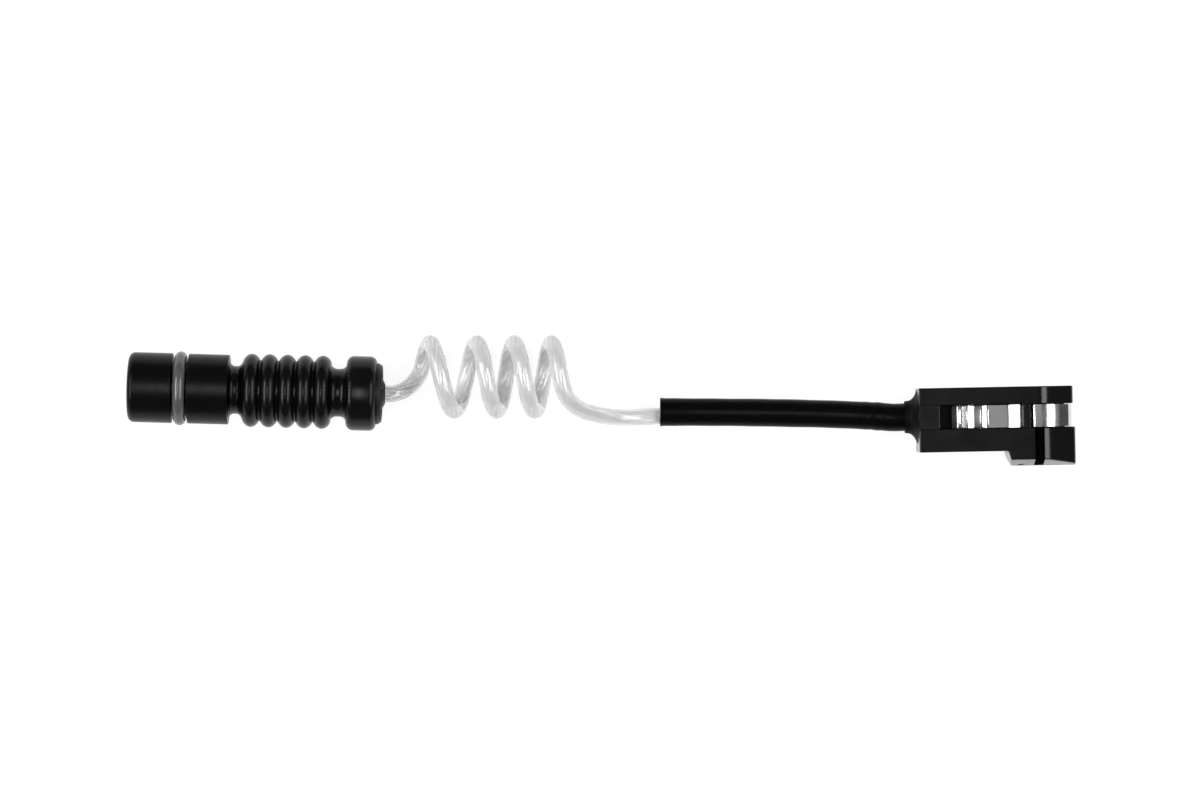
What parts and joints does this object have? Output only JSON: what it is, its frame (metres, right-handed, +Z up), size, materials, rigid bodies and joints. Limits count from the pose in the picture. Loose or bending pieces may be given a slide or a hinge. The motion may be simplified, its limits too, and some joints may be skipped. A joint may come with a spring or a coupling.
{
  "type": "brake pad wear sensor",
  "caption": "Electrical brake pad wear sensor: a sealed round plug with a ribbed rubber boot, a coiled pale lead in a short sleeve, and a slotted contact head with a spring clip.",
  "frame": {"origin": "on the surface that the sensor lies on, under the middle of the outline of the plug, sleeve and head", "axes": "+X from the plug towards the contact head, +Y away from the wearing foot, +Z up from the surface"},
  "size_m": [0.0853, 0.0118, 0.0076],
  "materials": {
    "plug_plastic": "fine moulded black, softly lit",
    "ring_rubber": "smooth grey rubber",
    "terminal_brass": "stamped, tin flashed",
    "plated_strands": "silver-plated strands",
    "lead_insulation": "translucent, waxy gloss",
    "boot_rubber": "matte black rubber",
    "seal_rubber": "matte black rubber",
    "sleeve_film": "thin black tube, slightly rippled",
    "head_plastic": "glass-filled black moulding",
    "spring_steel": "bright rolled strip"
  },
  "bodies": {
    "root": {"plug_body": "plug_plastic", "sealing_ring": "ring_rubber", "socket_terminal": "terminal_brass", "plug_conductor": "plated_strands", "lead_plug_end": "lead_insulation", "boot": "boot_rubber", "wire_seal": "seal_rubber", "lead_front": "lead_insulation", "lead_coil": "lead_insulation", "lead_rear": "lead_insulation", "sleeve": "sleeve_film", "lead_head_end": "lead_insulation", "head_conductor": "plated_strands", "head_housing": "head_plastic", "retaining_clip": "spring_steel", "wear_contact": "terminal_brass"}
  },
  "joints": []
}
